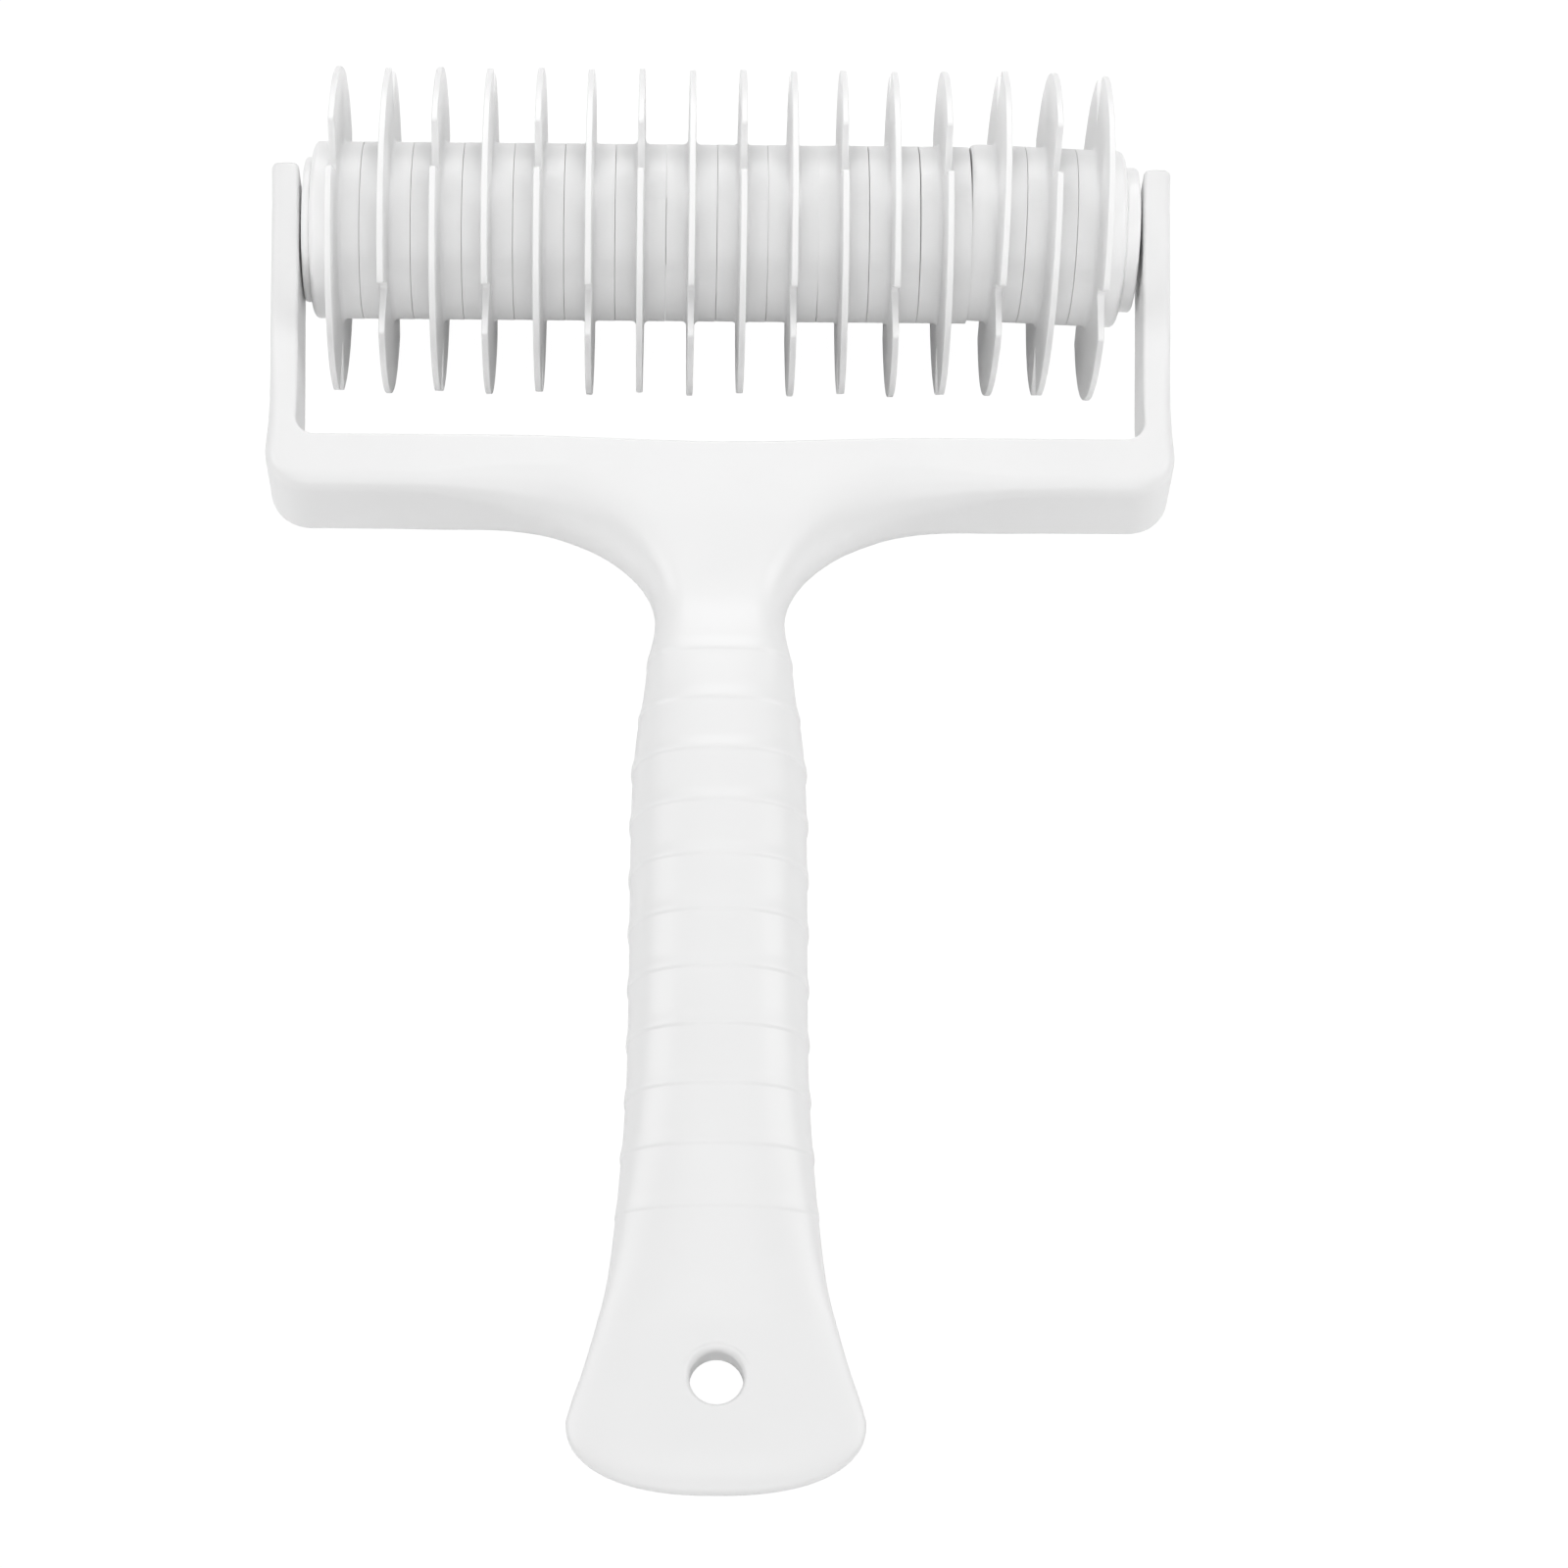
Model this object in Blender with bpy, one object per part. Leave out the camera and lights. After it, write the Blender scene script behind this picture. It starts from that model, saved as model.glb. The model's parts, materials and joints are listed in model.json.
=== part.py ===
"""Lattice dough cutter: a forked frame with a ribbed handle, and a roller of sixteen notched cutting wheels.

Everything is drawn in the tool's own frame, in millimetres: the roller axis is the X axis, the roller end
is at +Y, the handle runs towards -Y and +Z is the front face. The finished tool is then laid on a table,
where it rests on its wheels and on the end of its handle.
"""
import math

import bmesh
import bpy
from mathutils import Vector

MM = 0.001

# Wheels: a hub with a thin blade in the middle of its length
WHEEL_COUNT = 16
WHEEL_PITCH = 6.97
SEAM_GAP = 0.2
BLADE_RADIUS = 22.5
HUB_RADIUS = 12.2
BLADE_RIM_THICKNESS = 0.84
BLADE_ROOT_THICKNESS = 1.1
ROOT_FILLET = 0.55

# Notches in the blades: each wheel sits one hexagon side further round than its neighbour
NOTCHES = 3
NOTCH_RIM_WIDTH = 7.4
NOTCH_FLOOR_WIDTH = 0.9
NOTCH_ABOVE_HUB = 3.4
NOTCH_START_ANGLE = -1.6
STAGGER_ANGLE = 60.0
ARC_STEPS = 8

# Axle and end collars
HEX_FLATS = 8.0
HEX_CLEARANCE = 0.2
HEX_SHOULDER_INSET = 0.3
JOURNAL_RADIUS = 2.5
JOURNAL_CLEARANCE = 0.08
JOURNAL_INSET = 0.4
JOURNAL_SIDES = 24
COLLAR_RADIUS = 10.0
COLLAR_LENGTH = 1.75
COLLAR_SIDES = 36

# Fork: arms that lean outwards, joined by the crossbar
FRAME_DEPTH = 13.4
ARM_PLAY = 0.54
ARM_THICKNESS = 3.75
ARM_BEYOND_AXIS = 6.7
ARM_LEAN = ((1.0, -0.95), (0.9, -1.15), (0.78, -1.2), (0.4, -0.6), (0.0, 0.0))
ARM_TIP_LEAN = 0.3
TIP_CORNER = 1.0
BLADE_TO_CROSSBAR = 14.5
CROSSBAR_HEIGHT = 8.1
WINDOW_DIP = 0.75
WINDOW_DIP_REACH = 30.0
WINDOW_STEPS = 6
WINDOW_CORNER = 2.7
OUTER_CORNER = 6.0
OUTER_CORNER_STEPS = 6
SMALL_CORNER_STEPS = 4
ARM_EDGE = 0.7
INNER_EDGE = 0.5
CORNER_EDGE = 1.6

# Flare from the crossbar into the neck
FLARE_REACH = 36.0
FLARE_HEIGHT = 17.6
FLARE_POWER = 2.4
FLARE_STEPS = 12
CROSSBAR_EDGE = 2.3
NECK_EDGE = 6.2
EDGE_FADE_START = 0.15
EDGE_FADE_END = 0.95
NECK_HALF_WIDTH = 8.55

# Handle: shares of its length, from the neck to where the paddle starts, with real half widths
HANDLE_LENGTH = 136.6
GRIP_HALF_WIDTH = 11.4
PADDLE_HALF_WIDTH = 18.25
GRIP_HALF_THICKNESS = 9.5
PADDLE_START_HALF = 2.6
PADDLE_END_HALF = 1.95
WIDTH_CURVE = (
    (0.129, NECK_HALF_WIDTH), (0.149, NECK_HALF_WIDTH + 0.2), (0.171, NECK_HALF_WIDTH + 0.8),
    (0.214, GRIP_HALF_WIDTH - 1.35), (0.256, GRIP_HALF_WIDTH - 0.55), (0.307, GRIP_HALF_WIDTH - 0.1),
    (0.380, GRIP_HALF_WIDTH), (0.541, GRIP_HALF_WIDTH), (0.622, GRIP_HALF_WIDTH + 0.15),
    (0.698, GRIP_HALF_WIDTH + 0.75), (0.774, GRIP_HALF_WIDTH + 1.65), (0.811, GRIP_HALF_WIDTH + 2.35),
    (0.841, PADDLE_HALF_WIDTH - 3.55), (0.885, PADDLE_HALF_WIDTH - 1.95), (0.910, PADDLE_HALF_WIDTH - 0.85),
    (0.932, PADDLE_HALF_WIDTH),
)
THICKNESS_CURVE = (
    (0.044, FRAME_DEPTH / 2), (0.129, FRAME_DEPTH / 2), (0.160, FRAME_DEPTH / 2 + 0.4),
    (0.226, GRIP_HALF_THICKNESS - 1.3), (0.314, GRIP_HALF_THICKNESS - 0.4), (0.394, GRIP_HALF_THICKNESS),
    (0.476, GRIP_HALF_THICKNESS - 0.2), (0.563, GRIP_HALF_THICKNESS - 0.9),
    (0.622, GRIP_HALF_THICKNESS - 1.65), (0.680, GRIP_HALF_THICKNESS - 2.55),
    (0.738, PADDLE_START_HALF + 2.95), (0.790, PADDLE_START_HALF + 1.35), (0.841, PADDLE_START_HALF),
)
GRIP_EDGE_SHARE = 0.8
GRIP_EDGE_FROM = 0.04
GRIP_EDGE_UNTIL = 0.618
EDGE_MIDWAY = 0.738
EDGE_MIDWAY_EXTRA = 0.08
CROWN_CURVE = ((0.129, 0.0), (0.165, 0.2), (0.628, 0.25), (0.769, 0.1), (0.841, 0.0))

# Raised rings round the grip
RIB_START = 24.7
RIB_PITCH = 7.67
RIB_LAST_BEFORE_END = 34.0
RIB_RISE = 1.6
RIB_FALL = 0.95
RIB_HEIGHT = 0.22
RIB_SIDE_SHARE = 0.5
NECK_RING_STEP = 2.6
TAIL_RINGS = 4
RING_LEAST_GAP = 0.5

# Paddle end with its hanging hole
PADDLE_LENGTH = 21.7
PADDLE_TIP_DEPTH = 9.2
PADDLE_TIP_POWER = 2.3
PADDLE_TIP_STEPS = 9
PADDLE_STRAIGHT_STEPS = 5
PADDLE_EDGE = 3.5
HOLE_TO_END = 14.3
HOLE_RADIUS = 3.3
HOLE_LIP = 1.2
HOLE_LIP_STEPS = 3
HOLE_SIDES = 32

EDGE_STEPS = 4
FRONT_STEPS = 4
EDGE_FLAT = 0.12
CUT_MARGIN = 3.0

# Search for the tilt at which the tool rests
STEEPEST_TILT = 30.0
TILT_HALVINGS = 50

# Places that follow from the sizes above, as distances from the roller axis
ROLLER_HALF = WHEEL_COUNT * WHEEL_PITCH / 2
HUB_HALF = (WHEEL_PITCH - SEAM_GAP) / 2
COLLAR_NEAR = ROLLER_HALF + SEAM_GAP / 2
COLLAR_FAR = COLLAR_NEAR + COLLAR_LENGTH
ARM_OUTER = COLLAR_FAR + ARM_PLAY + ARM_THICKNESS
WINDOW = BLADE_RADIUS + BLADE_TO_CROSSBAR
WALL = WINDOW + CROSSBAR_HEIGHT
NECK = WALL + FLARE_HEIGHT
END = WALL + HANDLE_LENGTH
PADDLE_CUT = END - PADDLE_LENGTH
TIP_START = END - PADDLE_TIP_DEPTH
NOTCH_FLOOR_RADIUS = HUB_RADIUS + NOTCH_ABOVE_HUB
HEX_BORE_FLATS = HEX_FLATS + 2 * HEX_CLEARANCE


def clear_scene():
    for obj in list(bpy.data.objects):
        bpy.data.objects.remove(obj, do_unlink=True)


def plastic(name, color, roughness):
    material = bpy.data.materials.new(name)
    material.use_nodes = True
    shader = material.node_tree.nodes["Principled BSDF"]
    shader.inputs["Base Color"].default_value = (*color, 1.0)
    shader.inputs["Roughness"].default_value = roughness
    return material


class Shell:
    """Collects points and faces of one closed mesh, in millimetres."""

    def __init__(self):
        self.points = []
        self.faces = []

    def add(self, points):
        first = len(self.points)
        self.points += points
        return list(range(first, first + len(points)))

    def bridge(self, first, second, closed=False):
        count = len(first)
        for k in range(count if closed else count - 1):
            n = (k + 1) % count
            self.faces.append((first[k], first[n], second[n], second[k]))

    def fill_ring(self, outer, inner):
        """Fills a flat ring between two loops that start at the same angle, one piece per inner side."""
        count = len(inner)
        for k in range(count):
            first = round(k * len(outer) / count)
            last = round((k + 1) * len(outer) / count)
            span = [outer[i % len(outer)] for i in range(first, last + 1)]
            self.faces.append(span + [inner[(k + 1) % count], inner[k]])

    def make(self, name, material):
        mesh = bpy.data.meshes.new(name)
        mesh.from_pydata([Vector(p) * MM for p in self.points], [], self.faces)
        work = bmesh.new()
        work.from_mesh(mesh)
        bmesh.ops.recalc_face_normals(work, faces=work.faces)
        wide = [face for face in work.faces if len(face.verts) > 4]
        bmesh.ops.triangulate(work, faces=wide)
        work.to_mesh(mesh)
        work.free()
        mesh.materials.append(material)
        obj = bpy.data.objects.new(name, mesh)
        bpy.context.collection.objects.link(obj)
        return obj


def smooth_value(curve, at):
    """Value at a position of the smooth curve through (position, value) pairs."""
    if at <= curve[0][0]:
        return curve[0][1]
    if at >= curve[-1][0]:
        return curve[-1][1]
    i = max(k for k in range(len(curve) - 1) if curve[k][0] <= at)
    slopes = []
    for k in (i, i + 1):
        before = curve[max(k - 1, 0)]
        after = curve[min(k + 1, len(curve) - 1)]
        slopes.append((after[1] - before[1]) / (after[0] - before[0]))
    (x0, y0), (x1, y1) = curve[i], curve[i + 1]
    span = x1 - x0
    t = (at - x0) / span
    start = (2 * t**3 - 3 * t**2 + 1) * y0 + (t**3 - 2 * t**2 + t) * span * slopes[0]
    end = (3 * t**2 - 2 * t**3) * y1 + (t**3 - t**2) * span * slopes[1]
    return start + end


def handle_share(distance):
    return (distance - WALL) / HANDLE_LENGTH


def half_width(distance):
    return smooth_value(WIDTH_CURVE, handle_share(distance))


def half_thickness(distance):
    """Half the moulding's thickness: the paddle tapers in a straight line, the rest follows the curve."""
    if distance <= PADDLE_CUT:
        return smooth_value(THICKNESS_CURVE, handle_share(distance))
    share = (distance - PADDLE_CUT) / PADDLE_LENGTH
    start = half_thickness(PADDLE_CUT)
    return start + share * (PADDLE_END_HALF - start)


def edge_column(x, distance, inward, edge, lift=0.0):
    """One side edge as points from the front face round to the rear face.

    edge is the size of the rounding, over the face and down the side, kept inside the local thickness.
    """
    across, down = edge
    down = min(down, half_thickness(distance) - EDGE_FLAT)
    front = []
    for step in range(EDGE_STEPS + 1):
        turn = math.radians(90.0) * (1 - step / EDGE_STEPS)
        inset = across * (1 - math.cos(turn))
        px = x + inset * inward[0]
        pd = distance + inset * inward[1]
        height = half_thickness(pd) + lift - down * (1 - math.sin(turn))
        front.append((px, -pd, height))
    rear = [(px, py, -height) for px, py, height in reversed(front)]
    return front + rear


def plan_columns(plan, side):
    """Edge columns along an open plan of (x, distance, edge), side +1 or -1 for where the material is."""
    columns = []
    for i, (x, d, edge) in enumerate(plan):
        before = plan[max(i - 1, 0)]
        after = plan[min(i + 1, len(plan) - 1)]
        into = Vector((x - before[0], d - before[1])).normalized()
        out = Vector((after[0] - x, after[1] - d)).normalized()
        along = (into + out).normalized()
        if i in (0, len(plan) - 1):
            along = Vector((0.0, math.copysign(1.0, along.y)))
        columns.append(edge_column(x, d, (-side * along.y, side * along.x), edge))
    return columns


def arc(cx, cd, radius, start, end, steps):
    """Points of an arc as (x, distance), where 90 degrees points towards the handle."""
    points = []
    for k in range(steps + 1):
        angle = math.radians(start + (end - start) * k / steps)
        points.append((cx + radius * math.cos(angle), cd + radius * math.sin(angle)))
    return points


def flare_plan():
    """The hollow curve from the neck's side out to the crossbar's straight wall."""
    plan = []
    for k in range(FLARE_STEPS + 1):
        turn = math.radians(90.0) * k / FLARE_STEPS
        out = 1 - math.cos(turn) ** (2 / FLARE_POWER)
        drop = 1 - math.sin(turn) ** (2 / FLARE_POWER)
        fade = (out - EDGE_FADE_START) / (EDGE_FADE_END - EDGE_FADE_START)
        fade = min(1.0, max(0.0, fade))
        fade = fade * fade * (3 - 2 * fade)
        edge = NECK_EDGE + (CROSSBAR_EDGE - NECK_EDGE) * fade
        edge = min(edge, FRAME_DEPTH / 2 - EDGE_FLAT)
        plan.append((NECK_HALF_WIDTH + FLARE_REACH * out, WALL + FLARE_HEIGHT * drop, (edge, edge)))
    return plan


def fork_half_plan():
    """Right half of the fork's plan, from the neck round the arm to the window's edge."""
    plan = flare_plan()
    corner_d = WALL - OUTER_CORNER
    side_x = ARM_OUTER + ARM_LEAN[0][1]
    for x, d in arc(side_x - OUTER_CORNER, corner_d, OUTER_CORNER, 90.0, 0.0, OUTER_CORNER_STEPS):
        plan.append((x, d, (CORNER_EDGE, CORNER_EDGE)))
    arm = [(ARM_OUTER + lean, corner_d * share) for share, lean in ARM_LEAN[1:]]
    tip_d = TIP_CORNER - ARM_BEYOND_AXIS
    tip_x = ARM_OUTER + ARM_TIP_LEAN
    plan += [(x, d, (ARM_EDGE, ARM_EDGE)) for x, d in arm]
    tip = arc(tip_x - TIP_CORNER, tip_d, TIP_CORNER, 0.0, -90.0, SMALL_CORNER_STEPS)
    inner_x = tip_x - ARM_THICKNESS + TIP_CORNER
    tip += arc(inner_x, tip_d, TIP_CORNER, -90.0, -180.0, SMALL_CORNER_STEPS)
    plan += [(x, d, (ARM_EDGE, ARM_EDGE)) for x, d in tip]
    corner_start = WINDOW - WINDOW_CORNER
    inner = [(x - ARM_THICKNESS, d) for x, d in arm[::-1] if d < corner_start]
    corner_x = inner[-1][0] - WINDOW_CORNER
    inner += arc(corner_x, corner_start, WINDOW_CORNER, 0.0, 90.0, SMALL_CORNER_STEPS)
    for k in range(WINDOW_STEPS, 0, -1):
        x = min(WINDOW_DIP_REACH, corner_x - TIP_CORNER) * k / WINDOW_STEPS
        inner.append((x, window_edge(x)))
    plan += [(x, d, (INNER_EDGE, INNER_EDGE)) for x, d in inner]
    return plan


def window_edge(x):
    """The crossbar's inner edge dips a little towards the handle in the middle."""
    if abs(x) >= WINDOW_DIP_REACH:
        return WINDOW
    return WINDOW + WINDOW_DIP * 0.5 * (1 + math.cos(math.pi * x / WINDOW_DIP_REACH))


def paddle_half_plan():
    """Right half of the paddle's plan, from its cut to just before the tip."""
    half = [(half_width(PADDLE_CUT), PADDLE_CUT)]
    straight = TIP_START - PADDLE_CUT
    for k in range(1, PADDLE_STRAIGHT_STEPS):
        d = PADDLE_CUT + straight * k / PADDLE_STRAIGHT_STEPS
        half.append((half_width(d), d))
    for k in range(PADDLE_TIP_STEPS):
        turn = math.radians(90.0) * k / PADDLE_TIP_STEPS
        x = PADDLE_HALF_WIDTH * math.cos(turn) ** (2 / PADDLE_TIP_POWER)
        d = TIP_START + PADDLE_TIP_DEPTH * math.sin(turn) ** (2 / PADDLE_TIP_POWER)
        half.append((x, d))
    return [(x, d, (PADDLE_EDGE, half_thickness(d))) for x, d in half]


def whole_plan(half, middle):
    """Joins a right half, its mirror image and the middle point, from the left end to the right end."""
    left = [(-x, d, edge) for x, d, edge in half]
    return left + [middle] + half[::-1]


def rib_starts():
    ribbed = HANDLE_LENGTH - RIB_LAST_BEFORE_END - RIB_START
    count = int(ribbed / RIB_PITCH) + 1
    return [WALL + RIB_START + k * RIB_PITCH for k in range(count)]


def ring_positions():
    """(distance, rib height) of every ring of points along the handle, in order."""
    ribs = []
    for start in rib_starts():
        crest = start - RIB_FALL / 2
        ribs += [(crest - RIB_RISE, 0.0), (crest, RIB_HEIGHT), (crest + RIB_FALL, 0.0)]
    plain = [NECK, NECK + NECK_RING_STEP]
    last = ribs[-1][0]
    tail = PADDLE_CUT - last
    plain += [last + tail * k / TAIL_RINGS for k in range(1, TAIL_RINGS + 1)]
    spaced = [(d, 0.0) for d in plain if min(abs(d - r) for r, _ in ribs) > RING_LEAST_GAP]
    return sorted(spaced + ribs)


def handle_ring(distance, rib):
    """Left column, rear points, right column and front points of one ring of the handle."""
    share = handle_share(distance)
    half = half_width(distance) + RIB_SIDE_SHARE * rib
    first = handle_share(NECK)
    last = handle_share(PADDLE_CUT)
    neck_share = NECK_EDGE / NECK_HALF_WIDTH
    paddle_share = PADDLE_EDGE / half_width(PADDLE_CUT)
    edge_curve = (
        (first, neck_share), (first + GRIP_EDGE_FROM, GRIP_EDGE_SHARE), (GRIP_EDGE_UNTIL, GRIP_EDGE_SHARE),
        (EDGE_MIDWAY, (GRIP_EDGE_SHARE + paddle_share) / 2 + EDGE_MIDWAY_EXTRA), (last, paddle_share),
    )
    across = smooth_value(edge_curve, share) * half
    edge = (across, NECK_EDGE if distance == NECK else half_thickness(distance))
    left = edge_column(-half, distance, (1.0, 0.0), edge, rib)
    right = edge_column(half, distance, (-1.0, 0.0), edge, rib)
    flat = half - across
    crown = smooth_value(CROWN_CURVE, share)
    front = []
    for k in range(1, FRONT_STEPS):
        x = flat * (1 - 2 * k / FRONT_STEPS)
        front.append((x, -distance, half_thickness(distance) + rib + crown * (1 - (x / flat) ** 2)))
    rear = [(x, y, -z) for x, y, z in reversed(front)]
    return left, rear, right, front


def frame_shell():
    """The frame and handle as one skin: the grip's rings, closed by the fork and by the paddle."""
    shell = Shell()
    rings = []
    for distance, rib in ring_positions():
        rings.append([shell.add(points) for points in handle_ring(distance, rib)])
    loops = [left + rear + right[::-1] + front for left, rear, right, front in rings]
    for first, second in zip(loops, loops[1:]):
        shell.bridge(first, second, closed=True)
    fork = whole_plan(fork_half_plan(), (0.0, window_edge(0.0), (INNER_EDGE, INNER_EDGE)))
    paddle = whole_plan(paddle_half_plan(), (0.0, END, (PADDLE_EDGE, PADDLE_END_HALF)))
    for plan, ring, side in ((fork, rings[0], 1), (paddle, rings[-1], -1)):
        left, rear, right, front = ring
        columns = [left] + [shell.add(c) for c in plan_columns(plan, side)[1:-1]] + [right]
        for first, second in zip(columns, columns[1:]):
            shell.bridge(first, second)
        shell.faces.append([column[0] for column in columns] + front)
        shell.faces.append([column[-1] for column in columns] + rear[::-1])
    return shell


def make_cutter(name, center, axis, profile, sides):
    """A hidden turned shape through center, from (offset along the axis, radius) pairs."""
    shell = Shell()
    loops = []
    for offset, radius in profile:
        points = []
        for k in range(sides):
            angle = 2 * math.pi * (k + 0.5) / sides
            a = radius * math.cos(angle)
            b = radius * math.sin(angle)
            local = (offset, a, b) if axis == "X" else (a, b, offset)
            points.append(tuple(c + v for c, v in zip(center, local)))
        loops.append(shell.add(points))
    for first, second in zip(loops, loops[1:]):
        shell.bridge(first, second, closed=True)
    shell.faces += [loops[0], loops[-1]]
    cutter = shell.make(name, bpy.data.materials[0])
    cutter.hide_render = True
    cutter.display_type = "WIRE"
    return cutter


def cut(obj, cutter):
    modifier = obj.modifiers.new(cutter.name, "BOOLEAN")
    modifier.operation = "DIFFERENCE"
    modifier.solver = "EXACT"
    modifier.object = cutter


def make_frame(material):
    frame = frame_shell().make("frame_handle", material)
    distance = END - HOLE_TO_END
    surface = half_thickness(distance)
    upper = []
    for k in range(HOLE_LIP_STEPS + 1):
        turn = math.radians(90.0) * k / HOLE_LIP_STEPS
        height = surface - HOLE_LIP * (1 - math.sin(turn))
        upper.append((height, HOLE_RADIUS + HOLE_LIP * (1 - math.cos(turn))))
    upper.append((surface + CUT_MARGIN, HOLE_RADIUS + HOLE_LIP + CUT_MARGIN))
    hole = [(-height, radius) for height, radius in reversed(upper)] + upper
    cut(frame, make_cutter("hanging_hole_cutter", (0.0, -distance, 0.0), "Z", hole, HOLE_SIDES))
    bore_radius = (JOURNAL_RADIUS + JOURNAL_CLEARANCE) / math.cos(math.pi / JOURNAL_SIDES)
    reach = ARM_OUTER + CUT_MARGIN
    bore = ((-reach, bore_radius), (reach, bore_radius))
    cut(frame, make_cutter("axle_bore_cutter", (0.0, 0.0, 0.0), "X", bore, JOURNAL_SIDES))
    return frame


def circle(x, radius, angles):
    """Points round the roller axis, with angles from the front face towards the roller end."""
    points = []
    for angle in angles:
        turn = math.radians(angle)
        points.append((x, radius * math.sin(turn), radius * math.cos(turn)))
    return points


def even_angles(count, start=NOTCH_START_ANGLE):
    return [start + 360.0 * k / count for k in range(count)]


def hexagon(x, flats):
    return circle(x, flats / math.sqrt(3.0), even_angles(6))


def notch_half_angle(width, radius):
    return math.degrees(math.asin(width / 2 / radius))


def blade_angles(start, half_angle):
    """Angles of the blade's outline, left out across each notch."""
    sector = 360.0 / NOTCHES
    covered = sector - 2 * half_angle
    angles = []
    for n in range(NOTCHES):
        for k in range(ARC_STEPS + 1):
            angles.append(start + n * sector + half_angle + covered * k / ARC_STEPS)
    return angles


def make_wheel(name, center, turn, material):
    """A hub with a thin notched blade at the middle of its length, moulded in one."""
    shell = Shell()
    start = NOTCH_START_ANGLE + turn
    around = NOTCHES * (ARC_STEPS + 1)
    rim_angles = blade_angles(start, notch_half_angle(NOTCH_RIM_WIDTH, BLADE_RADIUS))
    floor_angles = blade_angles(start, notch_half_angle(NOTCH_FLOOR_WIDTH, NOTCH_FLOOR_RADIUS))
    hub_angles = even_angles(around, start)
    root_radius = HUB_RADIUS + ROOT_FILLET
    root_half = BLADE_ROOT_THICKNESS / 2
    rim_half = BLADE_RIM_THICKNESS / 2
    taper = (root_half - rim_half) / (BLADE_RADIUS - root_radius)
    floor_half = rim_half + taper * (BLADE_RADIUS - NOTCH_FLOOR_RADIUS)
    middle_angles = [(a + b) / 2 for a, b in zip(floor_angles, even_angles(around, start + 180.0 / around))]
    sides = []
    for side in (-1, 1):
        bore = shell.add(hexagon(center + side * HUB_HALF, HEX_BORE_FLATS))
        edge = shell.add(circle(center + side * HUB_HALF, HUB_RADIUS, hub_angles))
        foot = shell.add(circle(center + side * (root_half + ROOT_FILLET), HUB_RADIUS, hub_angles))
        root = shell.add(circle(center + side * root_half, root_radius, middle_angles))
        floor = shell.add(circle(center + side * floor_half, NOTCH_FLOOR_RADIUS, floor_angles))
        rim = shell.add(circle(center + side * rim_half, BLADE_RADIUS, rim_angles))
        shell.fill_ring(edge, bore)
        for first, second in ((edge, foot), (foot, root), (root, floor)):
            shell.bridge(first, second, closed=True)
        sides.append((bore, floor, rim))
    (bore_a, floor_a, rim_a), (bore_b, floor_b, rim_b) = sides
    shell.bridge(bore_a, bore_b, closed=True)
    for n in range(NOTCHES):
        first = n * (ARC_STEPS + 1)
        last = first + ARC_STEPS
        following = (last + 1) % around
        tooth = slice(first, last + 1)
        shell.bridge(floor_a[tooth], rim_a[tooth])
        shell.bridge(floor_b[tooth], rim_b[tooth])
        shell.bridge(rim_a[tooth], rim_b[tooth])
        for k in (first, last):
            shell.faces.append((floor_a[k], floor_b[k], rim_b[k], rim_a[k]))
        shell.faces.append((floor_a[last], floor_b[last], floor_b[following], floor_a[following]))
    return shell.make(name, material)


def make_axle(material):
    """A hexagonal rod with a round journal at each end."""
    shell = Shell()
    bodies = []
    for side in (-1, 1):
        end_x = side * (ARM_OUTER - JOURNAL_INSET)
        shoulder_x = side * (COLLAR_FAR - HEX_SHOULDER_INSET)
        end = shell.add(circle(end_x, JOURNAL_RADIUS, even_angles(JOURNAL_SIDES)))
        shoulder = shell.add(circle(shoulder_x, JOURNAL_RADIUS, even_angles(JOURNAL_SIDES)))
        body = shell.add(hexagon(shoulder_x, HEX_FLATS))
        shell.faces.append(end)
        shell.bridge(end, shoulder, closed=True)
        shell.fill_ring(shoulder, body)
        bodies.append(body)
    shell.bridge(bodies[0], bodies[1], closed=True)
    return shell.make("axle", material)


def make_collar(name, side, material):
    """A plain end collar between the last hub and the arm."""
    shell = Shell()
    loops = []
    for x in (COLLAR_NEAR, COLLAR_FAR):
        outer = shell.add(circle(side * x, COLLAR_RADIUS, even_angles(COLLAR_SIDES)))
        bore = shell.add(hexagon(side * x, HEX_BORE_FLATS))
        shell.fill_ring(outer, bore)
        loops.append((outer, bore))
    for first, second in zip(*loops):
        shell.bridge(first, second, closed=True)
    return shell.make(name, material)


def lowest(points, tilt):
    return min(p[1] * math.sin(tilt) + p[2] * math.cos(tilt) for p in points)


def rest_on_table(frame, roller):
    """Tilts the tool until wheels and handle touch the table together, centred over the origin."""
    frame_points = [tuple(v.co) for v in frame.data.vertices]
    roller_points = [tuple(v.co) for obj in roller for v in obj.data.vertices]
    low, high = 0.0, math.radians(STEEPEST_TILT)
    for _ in range(TILT_HALVINGS):
        tilt = (low + high) / 2
        if lowest(frame_points, tilt) > lowest(roller_points, tilt):
            low = tilt
        else:
            high = tilt
    every = frame_points + roller_points
    along = [p[1] * math.cos(tilt) - p[2] * math.sin(tilt) for p in every]
    stand = bpy.data.objects.new("table_stand", None)
    bpy.context.collection.objects.link(stand)
    stand.rotation_euler = (tilt, 0.0, 0.0)
    stand.location = (0.0, -(min(along) + max(along)) / 2, -lowest(every, tilt))
    for obj in bpy.data.objects:
        if obj is not stand:
            obj.parent = stand


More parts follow.
